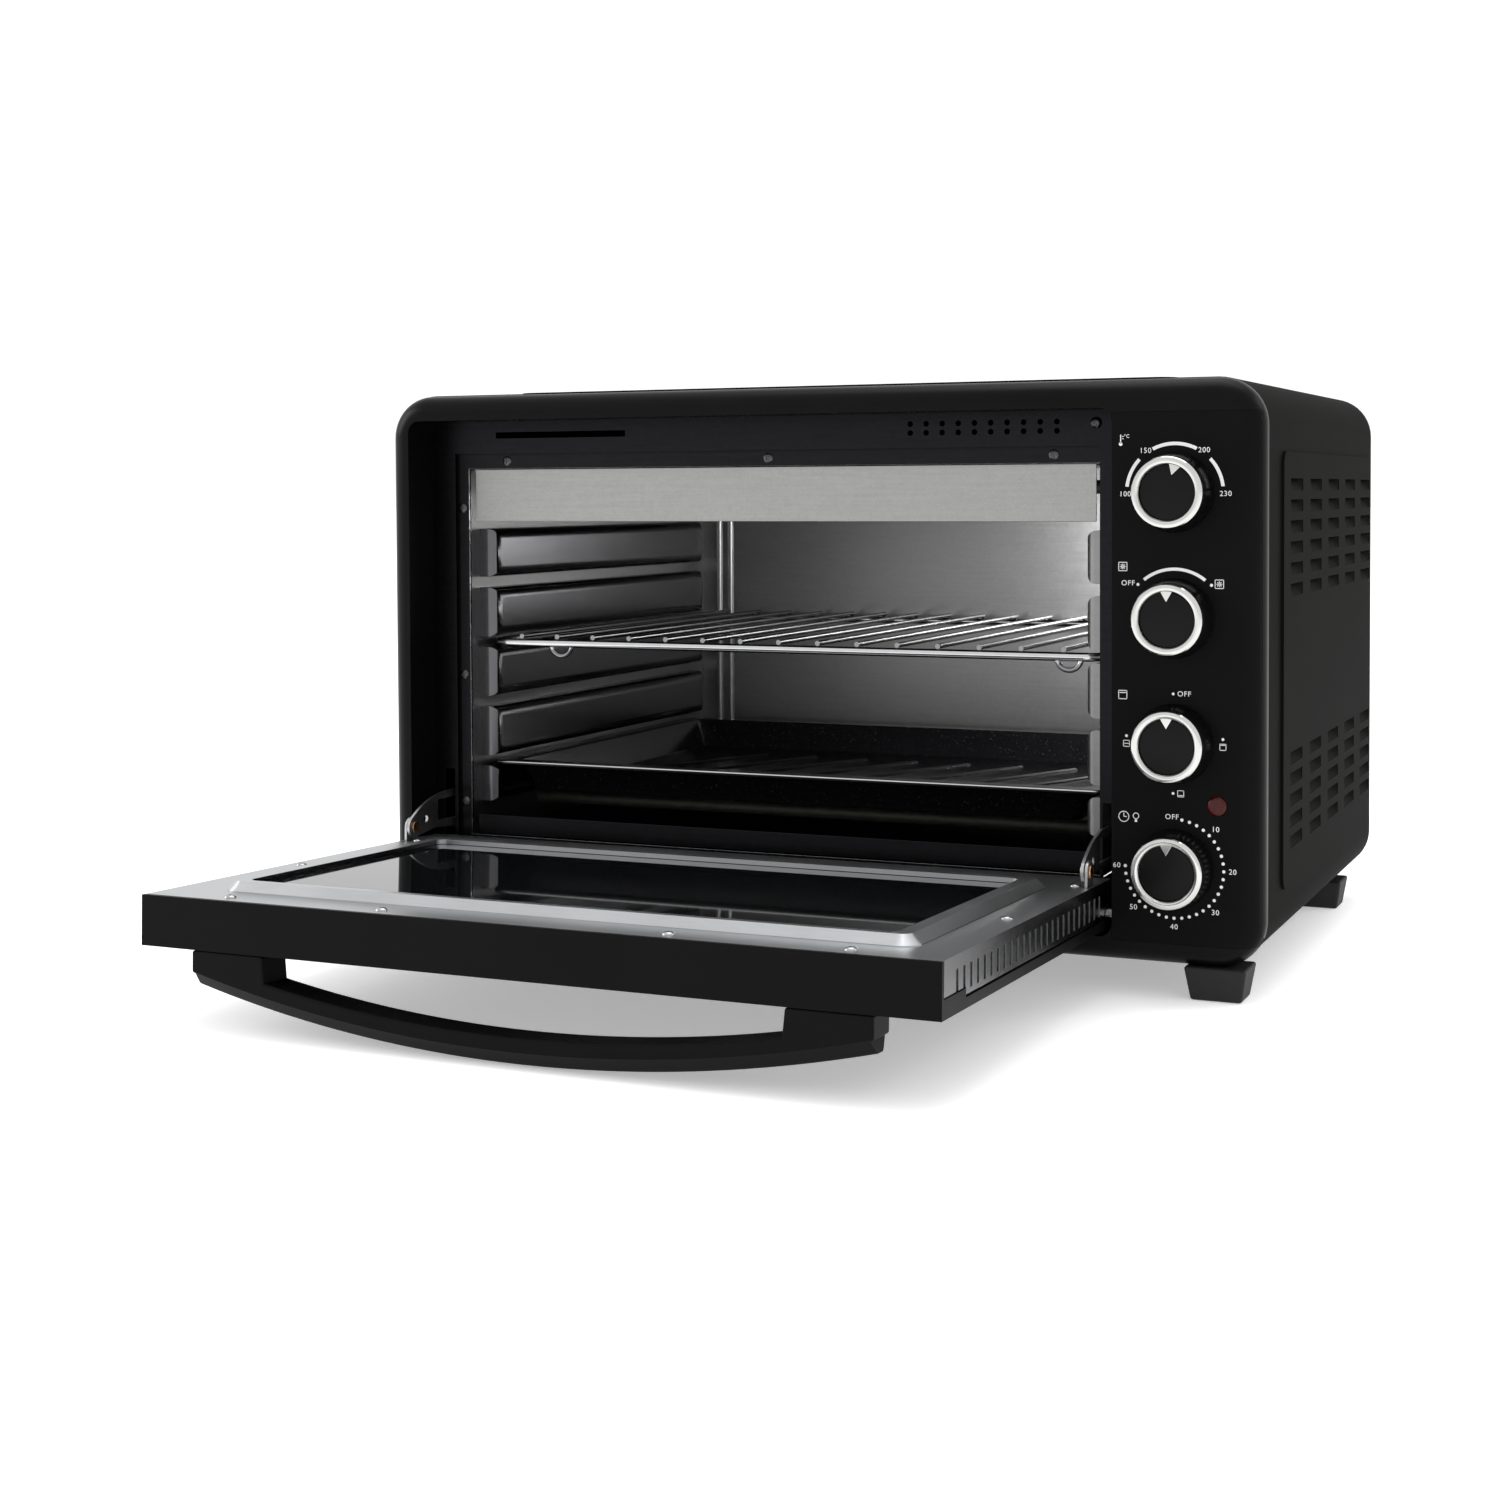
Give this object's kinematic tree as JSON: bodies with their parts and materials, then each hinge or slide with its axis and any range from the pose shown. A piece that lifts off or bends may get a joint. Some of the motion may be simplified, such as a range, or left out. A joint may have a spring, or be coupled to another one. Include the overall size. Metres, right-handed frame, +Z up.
{
  "type": "toaster oven",
  "caption": "Countertop convection toaster oven with an open drop-down glass door, bowed handle, turning controls, sliding wire rack and baking tray, louvred casing and feet.",
  "frame": {"origin": "centre of the whole outline in X and Y with the door open, at the level of the feet's undersides", "axes": "+X to the right of a person facing the oven, +Y from the door to the rear, +Z up"},
  "size_m": [0.529, 0.6352, 0.3285],
  "materials": {
    "casing": "fine textured powder coat",
    "black_plastic": "satin moulded",
    "door_black": "matte moulded",
    "knob_black": "satin gloss",
    "dark_enamel": "vitreous enamel",
    "sheet_steel": "galvanised sheet",
    "satin_metal": "satin",
    "bright_metal": "bright",
    "chrome": "polished",
    "heater_steel": "oxidised",
    "ceramic": "unglazed",
    "red_lens": "clear moulded",
    "device_plastic": "moulded",
    "aluminium": "stamped",
    "glass": "tempered",
    "lamp_glass": "clear",
    "foot_rubber": "matte",
    "seal": "woven glass fibre",
    "brass": "plated"
  },
  "bodies": {
    "cabinet": {"arm_springs": "bright_metal", "back_panel": "casing", "base_plate": "sheet_steel", "cabinet_shell": "casing", "case_screws": "bright_metal", "cavity_back": "sheet_steel", "cavity_floor": "sheet_steel", "cavity_left_wall": "sheet_steel", "cavity_right_wall": "sheet_steel", "cavity_screws": "bright_metal", "cavity_top": "sheet_steel", "control_bracket": "sheet_steel", "control_panel": "black_plastic", "cord_gland": "foot_rubber", "fan_chamber": "sheet_steel", "fan_motor": "sheet_steel", "fan_switch": "device_plastic", "fascia_ring": "black_plastic", "feet": "foot_rubber", "front_plate": "dark_enamel", "heater_insulators": "ceramic", "hinge_pins": "bright_metal", "indicator_lens": "red_lens", "lamp_bulb": "lamp_glass", "lamp_cover": "glass", "lower_deflector": "dark_enamel", "lower_heaters": "heater_steel", "mode_switch": "device_plastic", "thermostat": "device_plastic", "timer": "device_plastic", "timer_bell": "bright_metal", "upper_deflector": "sheet_steel", "upper_heaters": "heater_steel"},
    "door": {"door_frame": "door_black", "door_liner": "satin_metal", "door_glass": "glass", "glass_seal": "seal", "handle": "door_black", "handle_screws": "bright_metal", "door_screws": "bright_metal", "arm_brackets": "satin_metal", "hinge_rivets": "brass"},
    "arm_left": {"arm_left": "satin_metal"},
    "arm_right": {"arm_right": "satin_metal"},
    "rack": {"rack_frame": "chrome", "rack_wires": "chrome"},
    "tray": {"baking_tray": "dark_enamel"},
    "fan": {"fan_blade": "aluminium"},
    "temperature_knob": {"knob_temperature": "knob_black", "ring_temperature": "chrome", "shaft_temperature": "bright_metal"},
    "fan_knob": {"knob_fan": "knob_black", "ring_fan": "chrome", "shaft_fan": "bright_metal"},
    "mode_knob": {"knob_mode": "knob_black", "ring_mode": "chrome", "shaft_mode": "bright_metal"},
    "timer_knob": {"knob_timer": "knob_black", "ring_timer": "chrome", "shaft_timer": "bright_metal"}
  },
  "joints": [
    {"name": "door_hinge", "type": "hinge", "parent": "cabinet", "child": "door", "pos_m": [0, -0.0515, 0.042], "axis": [-1, 0, 0], "range_deg": [0, 88.3], "deforming": ["arm_springs"]},
    {"name": "left_arm_pivot", "type": "hinge", "parent": "door", "child": "arm_left", "pos_m": [-0.2385, -0.07475, 0.0677], "axis": [1, 0, 0], "range_deg": [0, 88.3]},
    {"name": "right_arm_pivot", "type": "hinge", "parent": "door", "child": "arm_right", "pos_m": [0.1745, -0.07475, 0.0677], "axis": [1, 0, 0], "range_deg": [0, 88.3]},
    {"name": "temperature_turn", "type": "hinge", "parent": "cabinet", "child": "temperature_knob", "pos_m": [0.218, -0.06, 0.2658], "axis": [0, 1, 0], "range_deg": [-112, 78]},
    {"name": "fan_turn", "type": "hinge", "parent": "cabinet", "child": "fan_knob", "pos_m": [0.218, -0.06, 0.2004], "axis": [0, 1, 0], "range_deg": [-45, 45]},
    {"name": "mode_turn", "type": "hinge", "parent": "cabinet", "child": "mode_knob", "pos_m": [0.218, -0.06, 0.135], "axis": [0, 1, 0], "range_deg": [0, 270]},
    {"name": "timer_turn", "type": "hinge", "parent": "cabinet", "child": "timer_knob", "pos_m": [0.218, -0.06, 0.0696], "axis": [0, 1, 0], "range_deg": [0, 270]},
    {"name": "rack_slide", "type": "slide", "parent": "cabinet", "child": "rack", "axis": [0, 1, 0], "range_m": [-0.25, 0]},
    {"name": "tray_slide", "type": "slide", "parent": "cabinet", "child": "tray", "axis": [0, 1, 0], "range_m": [-0.25, 0]},
    {"name": "fan_spin", "type": "hinge", "parent": "cabinet", "child": "fan", "pos_m": [0.19, 0.136, 0.172], "axis": [1, 0, 0], "continuous": true}
  ],
  "couplings": [
    {"joint": "left_arm_pivot", "follows": "door_hinge", "ratio": 1},
    {"joint": "right_arm_pivot", "follows": "door_hinge", "ratio": 1}
  ]
}
